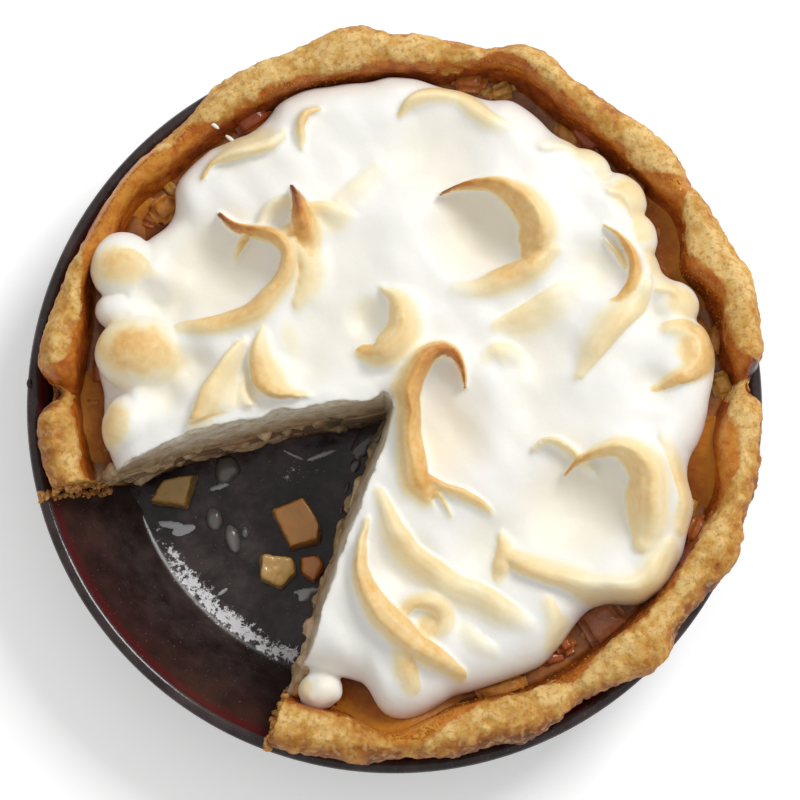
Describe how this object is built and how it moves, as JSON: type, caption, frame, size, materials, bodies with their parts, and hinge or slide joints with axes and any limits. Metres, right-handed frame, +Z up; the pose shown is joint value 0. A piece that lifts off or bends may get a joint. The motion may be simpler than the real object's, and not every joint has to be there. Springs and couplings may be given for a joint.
{
  "type": "apple meringue pie",
  "caption": "Apple meringue pie in a deep round dark-glazed pie dish, a slice taken out, with toasted meringue swirls and a thick rolled crust rim.",
  "frame": {"origin": "centre of the pie dish's flat underside", "axes": "+Z up through the pie; the missing slice runs from the middle towards -X and -Y"},
  "size_m": [0.254, 0.2583, 0.0764],
  "materials": {
    "dish_glaze": "glossy near-black glaze, dark red on the upper inner wall",
    "baked_crust": "baked shortcrust, matt, browned on the high spots",
    "apple_filling": "stewed apple in brown syrup, wet",
    "toasted_meringue": "soft white meringue with toasted ridges, satin",
    "apple_flesh": "cooked apple, wet and slightly translucent"
  },
  "bodies": {
    "root": {"pie_dish": "dish_glaze", "crust": "baked_crust", "filling": "apple_filling", "meringue": "toasted_meringue", "floor_chunk_1": "apple_flesh", "floor_chunk_2": "apple_flesh", "floor_chunk_3": "apple_flesh", "floor_chunk_4": "apple_flesh"}
  },
  "joints": []
}
